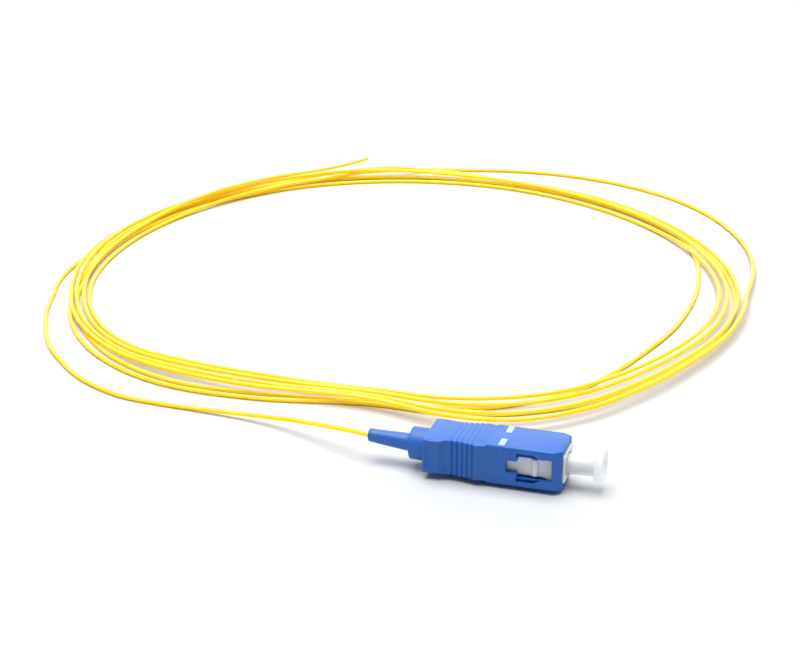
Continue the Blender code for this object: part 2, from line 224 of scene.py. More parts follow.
fibre = {
    "diameter": 0.9,                       # mm
    "length": 3.08,                        # metres, as the photograph shows it end to end
    "exit": (-21.4, 0.0, 4.85),            # where it leaves the boot
    "insideBoot": (3.0, 0.19),             # how far it runs on inside, and how much lower there
    "lead": [                              # from the boot to the coil: x, y, share of the height left
        (-0.3, 0.0, 1.0), (-4.6, 1.4, 0.93), (-10.5, 3.8, 0.72), (-17.7, 6.6, 0.46),
        (-26.4, 8.7, 0.2), (-38.2, 9.8, 0.04), (-46.8, 10.3, 0.0), (-55.9, 11.7, 0.0),
        (-66.9, 17.5, 0.0), (-77.7, 27.7, 0.0), (-82.9, 34.9, 0.0), (-86.3, 40.8, 0.0),
        (-89.3, 46.8, 0.0), (-92.1, 54.2, 0.0),
    ],
    "leadPoints": 90,
    "knotSteps": 24,                       # how finely the lead is measured between two knots
    "coilCentre": (-41.9, 92.8),
    "joinAngle": 205.5,                    # degrees round the coil, where the lead joins it
    "turns": 6,
    "endAngle": 115.5,                     # the bare end, after the last whole turn
    "bundle": [                            # angle, middle radius and half width of the bundle
        (0, 73.0, 2.9), (18, 71.7, 3.1), (38, 71.2, 3.6), (60, 72.6, 4.6), (90, 75.2, 4.8),
        (120, 76.0, 4.6), (150, 75.0, 3.9), (180, 74.3, 3.0), (205, 74.7, 2.0), (220, 75.2, 2.1),
        (235, 74.8, 2.2), (248, 72.4, 2.7), (262, 70.8, 2.8), (275, 70.6, 2.0), (283, 72.4, 2.5),
        (291, 77.0, 4.0), (300, 80.2, 5.1), (310, 80.2, 4.5), (320, 77.9, 3.7), (332, 75.6, 3.1),
        (345, 74.3, 2.8),
    ],
    "lanes": (0.2, -0.2, -1.0, 1.0, 0.4, -0.4),            # each turn's place across the bundle
    "endLane": 1.9,
    "endLift": (14.0, 2.6),                # the springy bare end stands up: over what angle, and mm
    "joinOut": (5.5, 36.0),                # how far out the first turn comes in, and over what angle
    "sideTurns": 2,                        # the first turns lie apart from the rest at the near left
    "sideCount": 460,                      # from this angle on a turn counts as the one before
    "side": [                              # angle and how far out they lie
        (195, 0.0), (205, 0.9), (220, 2.5), (235, 4.2), (248, 5.8), (262, 3.7), (275, 1.0),
        (283, -0.6), (292, -2.6), (303, -3.6), (315, -1.8), (335, -0.6), (350, 0.0), (20, 0.0),
        (100, 0.0), (180, 0.0),
    ],
    "sideSpread": (0.55, 3.0),             # how far they part, and how far out they do so fully
    "strays": [                            # turn, first and last angle, how far out it strays
        (2, 297, 400, -9.0),
        (4, 364, 486, 14.4),
    ],
    "strayPower": 1.25,                    # the higher, the narrower a stray's bulge
    "rise": [                              # how high the springy later turns ride, angle and mm
        (0, 1.3), (25, 0.2), (60, 0.0), (225, 0.0), (248, 0.8), (270, 1.7), (300, 2.0), (335, 1.8),
    ],
    "settle": 10.0,                        # degrees over which a turn climbs over another
    "pitch": 2.0,                          # degrees between points
    "roundness": 4,                        # gives its section 12 sides
    "tones": [(0.9, 0.59, 0.018), (0.93, 0.65, 0.03)],
    "patches": (0.93, 0.68, 0.07),
    "paintedGlow": (1.0, 0.55, 0.0, 1.0),         # painted glow: orange emission that stands for the light the thin jacket passes on and lifts its shaded undersides
    "paintedGlowStrength": 0.13,
}


def smoothBetween(knots, count):           # evenly spaced points on a smooth curve through the knots
    ends = [2 * knots[0] - knots[1], *knots, 2 * knots[-1] - knots[-2]]
    fine, steps = [], fibre["knotSteps"]
    for a, b, c, d in zip(ends, ends[1:], ends[2:], ends[3:]):
        for step in range(steps):
            t = step / steps
            fine.append(0.5 * (2 * b + (c - a) * t + (2 * a - 5 * b + 4 * c - d) * t ** 2
                               + (3 * b - a - 3 * c + d) * t ** 3))
    fine.append(knots[-1])
    travelled = [0.0]
    for first, second in zip(fine, fine[1:]):
        travelled.append(travelled[-1] + (second - first).length)
    points, at = [], 0
    for index in range(count):
        wanted = travelled[-1] * index / (count - 1)
        while at < len(fine) - 2 and travelled[at + 1] < wanted:
            at += 1
        span = travelled[at + 1] - travelled[at]
        points.append(fine[at].lerp(fine[at + 1], (wanted - travelled[at]) / span))
    return points


def aroundCoil(rows, angle, column=1):     # a value read smoothly from rows that go once round
    rows = sorted(rows)
    angle %= 360.0
    count = len(rows)
    after = next((i for i, row in enumerate(rows) if row[0] > angle), count)
    knots = []
    for offset in (-2, -1, 0, 1):
        lap, index = divmod(after + offset, count)
        knots.append((rows[index][0] + 360.0 * lap, rows[index][column]))
    (a0, v0), (a1, v1), (a2, v2), (a3, v3) = knots
    if angle < a1:
        angle += 360.0
    t = (angle - a1) / (a2 - a1)
    slope1 = (v2 - v0) / (a2 - a0) * (a2 - a1)
    slope2 = (v3 - v1) / (a3 - a1) * (a2 - a1)
    return (v1 * (2 * t ** 3 - 3 * t ** 2 + 1) + slope1 * (t ** 3 - 2 * t ** 2 + t)
            + v2 * (3 * t ** 2 - 2 * t ** 3) + slope2 * (t ** 3 - t ** 2))


def easeIn(t):                             # 0 to 1, slow at both ends
    t = min(max(t, 0.0), 1.0)
    return t * t * (3 - 2 * t)


def turnRadius(turn, angle):               # angle falls from join + 360 to join in each turn
    gone = fibre["joinAngle"] + 360 - angle
    lanes = (fibre["lanes"][0], *fibre["lanes"], fibre["endLane"])
    lane = lanes[turn - 1] + (lanes[turn] - lanes[turn - 1]) * easeIn(gone / fibre["joinAngle"])
    radius = aroundCoil(fibre["bundle"], angle) + lane * aroundCoil(fibre["bundle"], angle, 2)
    side = turn if angle < fibre["sideCount"] else turn - 1
    if 1 <= side <= fibre["sideTurns"]:
        spread, full = fibre["sideSpread"]
        away = aroundCoil(fibre["side"], angle)
        split = spread * min(abs(away) / full, 1.0)
        radius += away + (split if side == 1 else -split)
    if turn == 1:
        out, over = fibre["joinOut"]
        radius += out * (1 - easeIn(gone / over))
    for who, start, end, out in fibre["strays"]:
        if who == turn and start < angle < end:
            bulge = math.sin(math.pi * (angle - start) / (end - start))
            radius += out * bulge ** fibre["strayPower"]
    return radius


def layCoil():                             # every turn settles on the ones laid before it
    thick, pitch = fibre["diameter"], fibre["pitch"]
    perTurn = round(360 / pitch)
    count = round((fibre["joinAngle"] + 360 * fibre["turns"] - fibre["endAngle"]) / pitch) + 1
    reach = round(fibre["settle"] / pitch)
    radii, turns, angles, needed, heights = [], [], [], [], []
    for step in range(count + 2 * reach):
        turn = min(step, count - 1) // perTurn + 1
        angle = fibre["joinAngle"] + 360 - (min(step, count - 1) * pitch - 360 * (turn - 1))
        radii.append(turnRadius(turn, angle))
        turns.append(turn)
        angles.append(angle)
    for step in range(count):
        while len(needed) <= step + 2 * reach:             # looks ahead for strands to climb over
            at = len(needed)
            height = thick / 2
            if turns[at] > fibre["sideTurns"]:
                height += max(aroundCoil(fibre["rise"], angles[at]), 0.0)
            for under in range(at - perTurn, -1, -perTurn):
                apart = abs(radii[at] - radii[under])
                if apart < thick and under < len(heights):
                    height = max(height, heights[under] + math.sqrt(thick ** 2 - apart ** 2))
            needed.append(height)
        total = 0.0
        for near in range(step - reach, step + reach + 1):
            total += max(needed[max(near - reach, 0):near + reach + 1])
        heights.append(total / (2 * reach + 1))
    span, lift = fibre["endLift"]
    for step in range(count - round(span / pitch), count):
        heights[step] += lift * (1 - (count - 1 - step) * pitch / span) ** 2
    centreX, centreY = fibre["coilCentre"]
    points = []
    for radius, angle, height in zip(radii, angles, heights):
        turned = math.radians(angle)
        points.append(Vector((centreX + radius * math.cos(turned),
                              centreY + radius * math.sin(turned), height)))
    return points


def makeFibre():
    exitX, exitY, exitZ = fibre["exit"]
    rest = fibre["diameter"] / 2
    inside, lower = fibre["insideBoot"]
    knots = [Vector((exitX + inside, exitY, exitZ - lower))]
    knots += [Vector((exitX + x, exitY + y, rest + (exitZ - rest) * share))
              for x, y, share in fibre["lead"]]
    coil = layCoil()
    lead = smoothBetween(knots + coil[:1], fibre["leadPoints"])[:-1]
    for point in lead:
        point.z = max(point.z, rest)
    route = [point * mm for point in lead + coil]
    curve = bpy.data.curves.new("fibre", 'CURVE')
    curve.dimensions = '3D'
    curve.bevel_depth = 1.0                # times each point's radius
    curve.bevel_resolution = fibre["roundness"]
    curve.use_fill_caps = True
    spline = curve.splines.new('POLY')
    spline.points.add(len(route) - 1)
    for point, place in zip(spline.points, route):
        point.co = (*place, 1)
        point.radius = rest * mm
    spline.use_smooth = True
    obj = bpy.data.objects.new("fibre", curve)
    scene.collection.objects.link(obj)
    long = sum((b - a).length for a, b in zip(route, route[1:]))
    print("fibre length", round(long, 3), "highest", round(max(p.z for p in coil), 2))
    return obj


def jacketMaterial():
    # smooth extruded jacket: slow colour drift, faint dull patches and a waxy gloss, with a painted
    # orange glow that brightens its shaded undersides
    material, surface, place = startMaterial("yellow jacket")
    drift = grain(surface, place, 14.0, detail=2.0).between(0.3, 0.7)
    dull = grain(surface, place, 1.8, detail=4.0)
    skin = grain(surface, place, 0.35, detail=3.0)
    tone = (dull.between(0.55, 0.75) * 0.18).mix(drift.mix(*fibre["tones"]), fibre["patches"])
    # the emission below is a painted glow: it stands for the light the thin jacket passes on and lifts
    # its shaded undersides
    setSurface(material, surface, tone, 0.3 + dull * 0.16, skin, 0.006,
               coat_weight=0.12, coat_roughness=0.2, subsurface_weight=0.8, subsurface_scale=0.002,
               subsurface_radius=(1.0, 0.8, 0.2), emission_color=fibre["paintedGlow"],
               emission_strength=fibre["paintedGlowStrength"])
    return material


cord = makeFibre()
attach(cord, "plug")
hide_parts("fibre_lead", "fibre_coil")
cord.data.materials.append(jacketMaterial())

print("stage: modelling tools")            # pieces are modelled in mm from the plug's start

past = 1.0                                 # how far a cutting tool reaches past what it cuts


def pickPoints(piece, test):               # in edit mode, selects only the points that pass the test
    mesh = bmesh.from_edit_mesh(piece.data)
    bpy.context.tool_settings.mesh_select_mode = (True, False, False)
    for part in (*mesh.verts, *mesh.edges, *mesh.faces):
        part.select = False
    for point in mesh.verts:
        if test(point.co):
            point.select_set(True)
    bmesh.update_edit_mesh(piece.data)


def drawAlong(name, stations, middle=(0.0, 0.0), corner=0.0, steps=1):
    # a block drawn along the plug through rectangles: x, half width, half height
    x, wide, high = stations[0]
    bpy.ops.object.select_all(action='DESELECT')
    bpy.ops.mesh.primitive_plane_add(size=2, location=(x, *middle), rotation=(0, math.pi / 2, 0))
    piece = bpy.context.object
    piece.name = name
    piece.scale = (high, wide, 1)
    bpy.ops.object.transform_apply(location=True, rotation=True, scale=True)
    bpy.ops.object.mode_set(mode='EDIT')
    bpy.ops.mesh.select_all(action='SELECT')
    if corner:
        bpy.ops.mesh.bevel(affect='VERTICES', offset=corner, segments=steps)
        bpy.ops.mesh.select_all(action='SELECT')
    for toX, toWide, toHigh in stations[1:]:
        bpy.ops.mesh.extrude_region_move(TRANSFORM_OT_translate={"value": (toX - x, 0, 0)})
        bpy.ops.transform.resize(value=(1, toWide / wide, toHigh / high),
                                 center_override=(toX, *middle))
        x, wide, high = toX, toWide, toHigh
    return closeUp(piece)


def turnAlong(name, rings, sides=64, ring=False):
    # a round piece drawn along the plug through rings: x, radius, lift; a ring ends where it starts
    rings = [(*row, 0.0)[:3] for row in rings]
    x, radius, lift = rings[0]
    bpy.ops.object.select_all(action='DESELECT')
    bpy.ops.mesh.primitive_circle_add(vertices=sides, radius=radius, location=(x, 0, lift),
                                      rotation=(0, math.pi / 2, 0))
    piece = bpy.context.object
    piece.name = name
    bpy.ops.object.transform_apply(location=True, rotation=True, scale=True)
    bpy.ops.object.mode_set(mode='EDIT')
    bpy.ops.mesh.select_all(action='SELECT')
    for toX, toRadius, toLift in rings[1:] + ([rings[0]] if ring else []):
        shift = (toX - x, 0, toLift - lift)
        bpy.ops.mesh.extrude_region_move(TRANSFORM_OT_translate={"value": shift})
        bpy.ops.transform.resize(value=(1, toRadius / radius, toRadius / radius),
                                 center_override=(toX, 0, toLift))
        x, radius, lift = toX, toRadius, toLift
    return closeUp(piece)


def block(name, start, end, wide, high, **shape):          # a straight block
    return drawAlong(name, [(start, wide, high), (end, wide, high)], **shape)


def rod(name, start, end, radius, sides=64):               # a straight round piece
    return turnAlong(name, [(start, radius), (end, radius)], sides)


def quarterTurn(steps, first=1):           # sine and cosine on the way from 0 to 90 degrees
    turns = [math.pi / 2 * step / steps for step in range(first, steps + 1)]
    return [(math.sin(turn), math.cos(turn)) for turn in turns]


def closeUp(piece):                        # from edit mode: one closed skin that faces outwards
    bpy.ops.mesh.select_all(action='SELECT')
    bpy.ops.mesh.remove_doubles(threshold=0.0005)
    bpy.ops.mesh.fill_holes(sides=0)
    bpy.ops.mesh.select_all(action='SELECT')
    bpy.ops.mesh.normals_make_consistent(inside=False)
    bpy.ops.object.mode_set(mode='OBJECT')
    return piece


def work(piece, operation, *tools):        # joins the tools to the piece or cuts them out of it
    for tool in tools:
        step = piece.modifiers.new("shape", 'BOOLEAN')
        step.operation = operation
        step.solver = 'EXACT'
        step.object = tool
        bpy.context.view_layer.objects.active = piece
        bpy.ops.object.modifier_apply(modifier=step.name)
        bpy.data.objects.remove(tool)


def soften(piece, width):                  # rounds the sharp edges
    step = piece.modifiers.new("edges", 'BEVEL')
    step.width = width
    step.segments = 2
    step.limit_method = 'ANGLE'
    step.angle_limit = math.radians(50)
    bpy.context.view_layer.objects.active = piece
    bpy.ops.object.modifier_apply(modifier=step.name)


def settle(piece, material, body, slot, *nodes):           # puts a finished piece on the plug
    bpy.ops.object.select_all(action='DESELECT')
    piece.select_set(True)
    bpy.context.view_layer.objects.active = piece
    piece.scale = (mm, mm, mm)
    piece.location = plugStart
    bpy.ops.object.transform_apply(location=True, rotation=True, scale=True)
    bpy.ops.object.shade_smooth_by_angle(angle=math.radians(32))
    piece.data.materials.clear()
    piece.data.materials.append(material)
    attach(piece, body)
    if nodes:
        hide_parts(*nodes)
    print(piece.name, len(piece.data.polygons), "faces")


print("stage: sleeve")

sleeve = {                                 # mm from the sleeve's rear end and from the plug's axis
    "length": 24.8,
    "halfWidth": 4.5,
    "halfHeight": 3.7,
    "corner": 0.42,
    "edge": 0.07,
    "rearRim": [(0.0, 0.12), (0.05, 0.04), (0.16, 0.0)],   # how far along, how much smaller
    "tail": (3.0, 4.85, 3.2),              # its length, half width and half height
    "tailFade": 0.3,                       # how far before its end it starts to narrow
    "waist": (4.1, 4.2, 3.38),             # where it is, half width and half height
    "shoulder": (9.3, 4.95, 3.45),
    "gripStep": 0.06,                      # between two stations
    "gripEnd": 11.3,
    "gripLedge": 0.03,                     # how far its sides still stand out at its end
    "gripRim": [(0.08, 0.05), (0.16, 0.0)],                # past its end, how much lower
    "ribs": 5,
    "firstRib": 5.2,
    "ribPitch": 0.95,
    "ribDepth": (0.26, 0.07),              # on the sides and on the flats
    "ribPower": 2.6,                       # the higher, the narrower the grooves
    "noseStart": 23.2,
    "noseHalfWidth": 3.6,
    "noseRim": [(0.0, 0.0), (0.15, 0.03), (0.3, 0.1)],     # past its start, how much narrower
    "frontRim": [                          # before the front, how much wider than the nose, and lower
        (0.18, 0.1, 0.0), (0.06, 0.02, 0.05), (0.0, -0.08, 0.16),
    ],
    "cavity": (3.0, 3.4, 2.8),             # where it starts, half width and half height
    "cavityCorner": 0.3,
    "boreRadius": 3.03,
    "boreOverlap": 0.5,                    # with the cavity
    "window": (14.9, 16.9, 23.0),          # slot's start, wide part's start and front
    "windowHigh": (1.2, 2.05),             # half heights of the slot and the wide part
    "slotOverlap": 0.2,                    # with the wide part
    "reach": 2.5,                          # half width of the tools that cut into the sides
    "pocket": (16.8, 19.8, 21.2),          # rear, ramp's start and end
    "pocketHigh": (1.95, 2.75),            # its near and far edge
    "pocketDepth": (0.25, 1.0),            # beside the window and at its far edge
    "pocketTip": 0.05,                     # how high it still is at the ramp's end
    "bar": (21.6, 0.3, 2.15),              # in front of the window: start, depth and half height
    "barCorner": 0.15,
    "panel": (0.55, 2.5, 2.1, 0.14),       # start, end, half height and depth
    "key": (14.3, 22.3, 1.2, -4.45),       # start, end, half width and lowest point
    "keyRoot": 3.2,                        # how far below the axis it starts, inside the shell
    "keySlant": 0.25,                      # of its ends
    "keyCorner": 0.2,
    "marks": [(-4.0, -1.25), (1.35, 4.05)],                # white bars across the top
    "markAt": (13.4, 14.5),
    "markThick": 0.025,
    "markSlant": 0.08,
    "markCorner": 0.01,
}


def sleeveStations():                      # x, half width and half height from rear to front
    tailEnd, tailWide, tailHigh = sleeve["tail"]
    waistAt, waistWide, waistHigh = sleeve["waist"]
    shoulderAt, shoulderWide, shoulderHigh = sleeve["shoulder"]
    wide, high, fade = sleeve["halfWidth"], sleeve["halfHeight"], sleeve["tailFade"]
    rows = [(x, tailWide - less, tailHigh - less) for x, less in sleeve["rearRim"]]
    rows.append((tailEnd - fade, tailWide, tailHigh))
    for step in range(1, 7):
        t = easeIn(step / 6)
        rows.append((tailEnd - fade + (waistAt - tailEnd + fade) * step / 6,
                     tailWide + (waistWide - tailWide) * t, tailHigh + (waistHigh - tailHigh) * t))
    sideDeep, flatDeep = sleeve["ribDepth"]
    count = round((shoulderAt - waistAt) / sleeve["gripStep"])
    for step in range(1, count + 1):
        t = step / count
        x = waistAt + (shoulderAt - waistAt) * t
        turn = (x - sleeve["firstRib"]) / sleeve["ribPitch"]
        groove = 0.0
        if -0.5 < turn < sleeve["ribs"] - 0.5:
            groove = (0.5 + 0.5 * math.cos(2 * math.pi * turn)) ** sleeve["ribPower"]
        rows.append((x, waistWide + (shoulderWide - waistWide) * t * t - sideDeep * groove,
                     waistHigh + (shoulderHigh - waistHigh) * t - flatDeep * groove))
    end, ledge = sleeve["gripEnd"], sleeve["gripLedge"]
    for step in range(1, 6):               # the shoulder runs out into the sleeve's side
        t = step / 5
        rows.append((shoulderAt + (end - shoulderAt) * t,
                     shoulderWide + (wide + ledge - shoulderWide) * easeIn(t), shoulderHigh))
    rows += [(end + along, wide, high - less) for along, less in sleeve["gripRim"]]
    nose, noseWide, front = sleeve["noseStart"], sleeve["noseHalfWidth"], sleeve["length"]
    rows += [(nose + along, wide - less, high) for along, less in sleeve["noseRim"]]
    rows += [(front - before, noseWide + more, high - less)
             for before, more, less in sleeve["frontRim"]]
    return rows


def makePocket(side, up):                  # beside the window, deeper at its far edge, with a ramp
    rear, ramp, rampEnd = sleeve["pocket"]
    near, far = sleeve["pocketHigh"]
    shallow, deep = sleeve["pocketDepth"]
    wide, reach = sleeve["halfWidth"], sleeve["reach"]
    half = (far - near) / 2
    pocket = drawAlong("pocket", [(rear, reach, half), (ramp, reach, half), (rampEnd, reach, half)],
                       middle=(side * (wide - shallow + reach), up * (near + half)))
    bpy.ops.object.mode_set(mode='EDIT')
    pickPoints(pocket, lambda place: place.z * up > near + half and abs(place.y) < wide)
    bpy.ops.transform.translate(value=(0, side * (shallow - deep), 0))
    pickPoints(pocket, lambda place: place.z * up > near + half and place.x > (ramp + rampEnd) / 2)
    bpy.ops.transform.translate(value=(0, 0, up * (sleeve["pocketTip"] - 2 * half)))
    bpy.ops.object.mode_set(mode='OBJECT')
    return pocket


def makeSleeve():
    wide, front, reach = sleeve["halfWidth"], sleeve["length"], sleeve["reach"]
    shell = drawAlong("sleeve_shell", sleeveStations(), corner=sleeve["corner"], steps=5)
    start, end, keyWide, lowest = sleeve["key"]
    keyHigh, slant = (-lowest - sleeve["keyRoot"]) / 2, sleeve["keySlant"]
    key = drawAlong("key", [
        (start, keyWide - slant, keyHigh - slant), (start + slant, keyWide, keyHigh),
        (end - slant, keyWide, keyHigh), (end, keyWide - slant, keyHigh - slant)],
        middle=(0.0, lowest + keyHigh), corner=sleeve["keyCorner"], steps=3)
    work(shell, 'UNION', key)
    cavityAt, cavityWide, cavityHigh = sleeve["cavity"]
    slotAt, windowAt, windowEnd = sleeve["window"]
    slotHigh, windowHigh = sleeve["windowHigh"]
    tools = [
        rod("bore", -past, cavityAt + sleeve["boreOverlap"], sleeve["boreRadius"]),
        block("cavity", cavityAt, front + past, cavityWide, cavityHigh,
              corner=sleeve["cavityCorner"], steps=3),
        block("slot", slotAt, windowAt + sleeve["slotOverlap"], 2 * wide, slotHigh),
        block("window", windowAt, windowEnd, 2 * wide, windowHigh),
    ]
    barAt, barDeep, barHigh = sleeve["bar"]
    panelAt, panelEnd, panelHigh, panelDeep = sleeve["panel"]
    for side in (-1, 1):
        tools += [makePocket(side, up) for up in (-1, 1)]
        tools.append(block("bar", barAt, front + past, reach, barHigh,
                           middle=(side * (wide - barDeep + reach), 0.0),
                           corner=sleeve["barCorner"], steps=2))
        tools.append(block("panel", panelAt, panelEnd, reach, panelHigh,
                           middle=(side * (sleeve["tail"][1] - panelDeep + reach), 0.0)))
    work(shell, 'DIFFERENCE', *tools)
    soften(shell, sleeve["edge"])
    return shell


bluePlastic = mouldedPlastic("blue sleeve plastic", (0.01, 0.12, 0.475), shift=0.05, roughness=0.4)
settle(makeSleeve(), bluePlastic, "sleeve", "blue_plastic", "outer_housing")


def markMaterial():                        # printed white, thinner where the plastic shows through
    material, surface, place = startMaterial("white print")
    thin = grain(surface, place, 0.35, detail=4.0).between(0.56, 0.76)
    tone = (thin * 0.5).mix((0.45, 0.53, 0.62), (0.22, 0.33, 0.58))
    relief = grain(surface, place, 0.12, detail=3.0)
    setSurface(material, surface, tone, 0.5 + thin * 0.1, relief, 0.006)
    return material


def makeMark(number, low, high):
    start, end = sleeve["markAt"]
    half, thick, slant = (high - low) / 2, sleeve["markThick"], sleeve["markSlant"]
    return drawAlong("mark_%d" % number, [
        (start, half - slant, thick), (start + slant, half, thick),
        (end - slant, half, thick), (end, half - slant, thick)],
        middle=((low + high) / 2, sleeve["halfHeight"]), corner=sleeve["markCorner"], steps=2)


printWhite = markMaterial()
for number, (low, high) in enumerate(sleeve["marks"], 1):
    settle(makeMark(number, low, high), printWhite, "sleeve", "white_plastic")

print("stage: inner frame")

inner = {                                  # mm from the sleeve's rear end and from the plug's axis
    "ends": (3.3, 25.1),
    "halfWidth": 3.15,
    "halfHeight": 2.55,
    "corner": 0.3,
    "edge": 0.05,
    "rearRim": 0.15,
    "frontRim": [(0.2, 0.0), (0.06, 0.05), (0.0, 0.18)],   # before the front, how much smaller
    "cup": (20.8, 2.2),                    # its bottom and radius
    "cupFlare": (0.3, 0.05, 0.2),          # starts before the front, ends past it, how much wider
    "bore": (2.2, 19.8),                   # radius, and where the web starts
    "webHole": 1.55,
    "sunk": 0.1,                           # how far the latch and the pad start inside the frame
    "latch": (19.4, 20.6, 0.7, 1.65),      # rear, front, rise and half height
    "latchRamp": (0.5, 0.02),              # behind it and in front of it
    "latchWave": (0.12, 0.55),             # where on a half wave it starts, and its power
    "latchSlant": 0.05,                    # how much lower it is at its foot
    "latchCorner": 0.25,
    "pad": (17.6, 19.25, 0.12),            # raised, behind the latch: rear, front, rise
    "padRamp": (0.6, 0.6),                 # how long it is, and the share of the rise there
    "padEdge": 0.1,
    "groove": (16.2, 22.1, 1.7, 1.1),      # along its edges: rear, front, half height left, depth
    "grooveRamp": (0.8, 0.5),              # how long it is, and the share of the height at its end
}


def makeInner():
    start, end = inner["ends"]
    wide, high, rim = inner["halfWidth"], inner["halfHeight"], inner["rearRim"]
    rows = [(start, wide - rim, high - rim), (start + rim, wide, high)]
    rows += [(end - before, wide - less, high - less) for before, less in inner["frontRim"]]
    body = drawAlong("inner_frame", rows, corner=inner["corner"], steps=4)
    sunk = inner["sunk"]
    rear, front, rise, tall = inner["latch"]
    begin, power = inner["latchWave"]
    behind, before = inner["latchRamp"]
    rows = [(rear - behind, wide - sunk, tall - sunk)]
    for step in range(0, 9):               # a rounded ridge with a ramp behind it
        t = step / 8
        lift = rise * math.sin(math.pi * min(begin + (1 - begin) * t, 1.0)) ** power if t < 1 else 0.0
        rows.append((rear + (front - rear) * t, wide + lift,
                     tall - inner["latchSlant"] * (1 - lift / rise)))
    rows.append((front + before, wide - sunk, tall - sunk))
    latch = drawAlong("latch", rows, corner=inner["latchCorner"], steps=3)
    padRear, padFront, padRise = inner["pad"]
    rampLong, rampShare = inner["padRamp"]
    edge = inner["padEdge"]
    pad = drawAlong("pad", [
        (padRear, wide - sunk, tall), (padRear + rampLong, wide + padRise * rampShare, tall),
        (padFront - edge, wide + padRise, tall), (padFront, wide - sunk, tall)], corner=edge, steps=2)
    work(body, 'UNION', pad, latch)
    grooveRear, grooveFront, left, deep = inner["groove"]
    rampLong, rampShare = inner["grooveRamp"]
    half = high - left
    for side in (-1, 1):
        for up in (-1, 1):
            work(body, 'DIFFERENCE', drawAlong("groove", [
                (grooveRear, deep + past, half), (grooveFront - rampLong, deep + past, half),
                (grooveFront, deep + past, half * rampShare)],
                middle=(side * (wide + past), up * high)))
    bottom, radius = inner["cup"]
    flareBefore, flarePast, flare = inner["cupFlare"]
    boreRadius, web = inner["bore"]
    work(body, 'DIFFERENCE',
         turnAlong("cup", [(bottom, radius), (end - flareBefore, radius),
                           (end + flarePast, radius + flare), (end + past, radius + flare)]),
         rod("bore", start - past, web, boreRadius),
         rod("hole", web - past, bottom + past, inner["webHole"], 48))
    soften(body, inner["edge"])
    return body


framePlastic = mouldedPlastic("pale frame plastic", (0.82, 0.83, 0.82), shift=0.03, roughness=0.42)
settle(makeInner(), framePlastic, "plug", "white_plastic", "inner_housing")

print("stage: boot")

boot = {                                   # mm from the sleeve's rear end
    "insert": 1.2,                         # how far its collar reaches into the sleeve
    "collarRadius": 2.95,
    "collarEnd": -3.3,
    "frontRim": (0.1, 0.08),               # how far along, how much smaller
    "rim": 0.3,
    "rootRadius": 1.62,
    "rootRound": [(0.02, 0.35), (0.12, 0.12), (0.35, 0.0)],            # how far along, and thicker
    "taper": (0.35, 0.4),                  # how far from the collar and from the tail's end
    "tailEnd": -11.3,
    "tailRadius": 1.2,
    "tailRound": [(0.3, 0.0), (0.12, 0.04), (0.03, 0.14), (0.0, 0.3)],   # how far along, and thinner
    "tailLift": (0.4, 1.4),                # the soft tail curves up a little: how high, and its power
    "hole": 0.6,
    "holeRim": (0.08, 0.06),               # how deep, how much wider
    "socket": (-3.0, 1.8),                 # for the rear body: its end and radius
    "socketCone": 1.0,
}


def makeBoot():
    collar, rim = boot["collarRadius"], boot["rim"]
    front, back = boot["insert"], boot["collarEnd"]
    root, tail, end = boot["rootRadius"], boot["tailRadius"], boot["tailEnd"]
    socketEnd, socket = boot["socket"]
    along, less = boot["frontRim"]
    rings = [(front, socket), (front, collar - rim), (front - along, collar - less),
             (front - rim, collar), (back + rim, collar)]
    rings += [(back + rim - rim * sine, collar - rim + rim * cosine)
              for sine, cosine in quarterTurn(5)]
    rings += [(back - along, root + more) for along, more in boot["rootRound"]]
    taperStart, taperEnd = boot["taper"]
    for step in range(1, 8):
        t = step / 8
        rings.append((back - taperStart + (end - back + (taperStart + taperEnd)) * t,
                      root + (tail - root) * t))
    rings += [(end + along, tail - less) for along, less in boot["tailRound"]]
    hole = boot["hole"]
    deep, more = boot["holeRim"]
    rings += [(end, hole + more), (end + deep, hole), (socketEnd - boot["socketCone"], hole),
              (socketEnd, socket)]
    lift, power = boot["tailLift"]
    return turnAlong("strain_boot", [(x, radius, lift * max((back - x) / (back - end), 0.0) ** power)
                                     for x, radius in rings], ring=True)


bootRubber = mouldedPlastic("blue boot rubber", (0.018, 0.135, 0.48), shift=0.06, roughness=0.44)
settle(makeBoot(), bootRubber, "plug", "boot_plastic", "boot")

print("stage: ferrule")

ferrule = {                                # mm
    "radius": 1.25,
    "rearChamfer": 0.15,
    "chamfer": (0.75, 0.42, 1.6),          # at the tip: how long, how deep, and its power
    "dome": 0.13,                          # how far the polished end stands out
    "flangeRadius": 1.9,
    "flangeFront": [(0.0, 0.5), (0.35, 0.12), (0.55, 0.0)],            # how far along, and smaller
    "flangeRear": [(1.1, 0.0), (1.0, 0.25), (0.75, 0.25), (0.65, 0.02), (0.12, 0.02), (0.0, 0.14)],
    "flangeHole": 0.75,
    "flangeEdge": 0.03,
    "seat": (2.0, 0.02),                   # the ferrule's seat: its depth, and its play
    "notch": (1.3, 0.3, 0.35),             # depth along the plug, half width, depth from the rim
    "notchTool": (0.5, 3.0),               # how far its tool reaches past the front, half height
}
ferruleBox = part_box("ferrule")
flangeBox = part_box("ferrule_flange")


def alongPlug(x):                          # a place in the frame, in mm from the sleeve's rear end
    return (x - plugStart.x) / mm


def makeFerrule():
    radius, rear, dome = ferrule["radius"], ferrule["rearChamfer"], ferrule["dome"]
    long, deep, power = ferrule["chamfer"]
    back, front = alongPlug(ferruleBox[0][0]), alongPlug(ferruleBox[1][0])
    rings = [(back, radius - rear), (back + rear, radius), (front - long, radius)]
    for step in range(1, 6):               # a lapped chamfer, rounded into the polished dome
        t = step / 5
        rings.append((front - long + (long - dome) * t, radius - deep * t ** power))
    rings += [(front - dome + dome * sine, (radius - deep) * cosine)
              for sine, cosine in quarterTurn(5)[:-1]]
    return turnAlong("ferrule_pin", rings)


